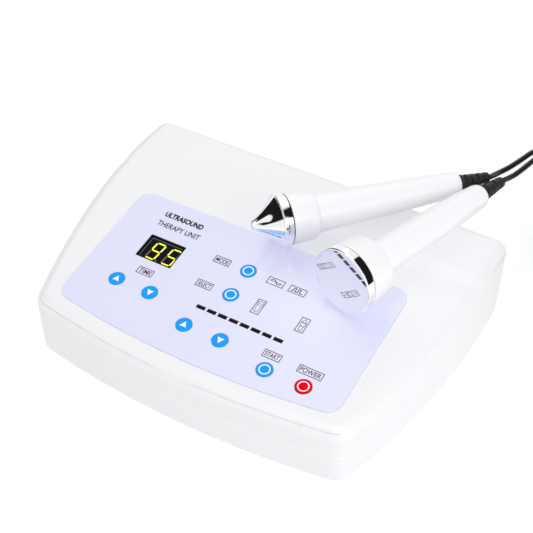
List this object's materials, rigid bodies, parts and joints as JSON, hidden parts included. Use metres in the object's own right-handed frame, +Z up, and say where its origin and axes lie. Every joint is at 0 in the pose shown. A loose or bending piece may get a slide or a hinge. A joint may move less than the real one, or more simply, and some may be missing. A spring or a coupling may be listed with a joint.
{
  "type": "ultrasound therapy device",
  "caption": "Desktop ultrasound therapy console with a sloping button panel, a cone-headed and a flat-headed handset, and their coiled leads.",
  "frame": {"origin": "middle of the object's outline, without its leads, on the surface it stands on", "axes": "+X to the right across the front, +Y to the back, +Z up"},
  "size_m": [0.3447, 0.2974, 0.0984],
  "materials": {
    "white_plastic": "gloss",
    "panel_film": "gloss",
    "blue_cap": "gloss",
    "red_cap": "gloss",
    "dark_window": "gloss",
    "black_plastic": "satin",
    "chrome": "polished",
    "steel": "plain",
    "nickel": "satin",
    "aluminium": "anodised",
    "copper_wire": "enamelled",
    "brass": "plated",
    "circuit_board": "solder mask",
    "wire_cover": "satin",
    "black_rubber": "matte"
  },
  "bodies": {
    "console": {"upper_case": "white_plastic", "lower_case": "white_plastic", "case_screws": "steel", "rubber_feet": "black_rubber", "panel_overlay": "panel_film", "display_window": "dark_window", "display_module": "black_plastic", "level_bar": "black_plastic", "key_switches": "black_plastic", "control_board": "circuit_board", "control_chips": "black_plastic", "buzzer": "black_plastic", "driver_board": "circuit_board", "board_screws": "steel", "driver_components": "black_plastic", "output_coil": "copper_wire", "heatsink": "aluminium", "power_transistors": "black_plastic", "mains_transformer": "steel", "mains_inlet": "black_plastic", "inlet_pins": "steel", "fuse_holder": "black_plastic", "cone_socket": "nickel", "flat_socket": "nickel", "socket_nuts": "steel", "ribbon_cable": "wire_cover", "mains_wires": "wire_cover", "socket_wires": "wire_cover", "cone_lead_run": "black_rubber", "cone_lead_coil": "black_rubber", "cone_lead_tail": "black_rubber", "cone_lead_plug": "nickel", "flat_lead_run": "black_rubber", "flat_lead_coil": "black_rubber", "flat_lead_tail": "black_rubber", "flat_lead_plug": "nickel", "lead_ties": "black_plastic"},
    "time_up_button": {"time_up_button": "blue_cap"},
    "time_down_button": {"time_down_button": "blue_cap"},
    "output_up_button": {"output_up_button": "blue_cap"},
    "output_down_button": {"output_down_button": "blue_cap"},
    "mode_button": {"mode_button": "blue_cap"},
    "select_button": {"select_button": "blue_cap"},
    "start_button": {"start_button": "blue_cap"},
    "power_button": {"power_button": "red_cap"},
    "cone_handset": {"cone_head": "chrome", "cone_seal": "black_rubber", "cone_collar": "white_plastic", "cone_handle": "white_plastic", "cone_piezo": "brass", "cone_inner_wire": "wire_cover", "cone_relief": "black_rubber"},
    "flat_handset": {"flat_head": "chrome", "flat_seal": "black_rubber", "flat_collar": "white_plastic", "flat_handle": "white_plastic", "flat_piezo": "brass", "flat_inner_wire": "wire_cover", "flat_relief": "black_rubber"}
  },
  "joints": [
    {"name": "time_up_press", "type": "slide", "parent": "console", "child": "time_up_button", "axis": [0, 0.1184, -0.993], "range_m": [0, 0.0005], "stiffness_N_per_m": 300, "springref_m": -0.002},
    {"name": "time_down_press", "type": "slide", "parent": "console", "child": "time_down_button", "axis": [0, 0.1184, -0.993], "range_m": [0, 0.0005], "stiffness_N_per_m": 300, "springref_m": -0.002},
    {"name": "output_up_press", "type": "slide", "parent": "console", "child": "output_up_button", "axis": [0, 0.1184, -0.993], "range_m": [0, 0.0005], "stiffness_N_per_m": 300, "springref_m": -0.002},
    {"name": "output_down_press", "type": "slide", "parent": "console", "child": "output_down_button", "axis": [0, 0.1184, -0.993], "range_m": [0, 0.0005], "stiffness_N_per_m": 300, "springref_m": -0.002},
    {"name": "mode_press", "type": "slide", "parent": "console", "child": "mode_button", "axis": [0, 0.1184, -0.993], "range_m": [0, 0.0005], "stiffness_N_per_m": 300, "springref_m": -0.002},
    {"name": "select_press", "type": "slide", "parent": "console", "child": "select_button", "axis": [0, 0.1184, -0.993], "range_m": [0, 0.0005], "stiffness_N_per_m": 300, "springref_m": -0.002},
    {"name": "start_press", "type": "slide", "parent": "console", "child": "start_button", "axis": [0, 0.1184, -0.993], "range_m": [0, 0.0005], "stiffness_N_per_m": 300, "springref_m": -0.002},
    {"name": "power_press", "type": "slide", "parent": "console", "child": "power_button", "axis": [0, 0.1184, -0.993], "range_m": [0, 0.0005], "stiffness_N_per_m": 300, "springref_m": -0.002},
    {"name": "cone_handset_lift", "type": "slide", "parent": "console", "child": "cone_handset", "axis": [0, 0, 1], "range_m": [0, 0.06]},
    {"name": "flat_handset_lift", "type": "slide", "parent": "console", "child": "flat_handset", "axis": [0, 0, 1], "range_m": [0, 0.06]}
  ]
}
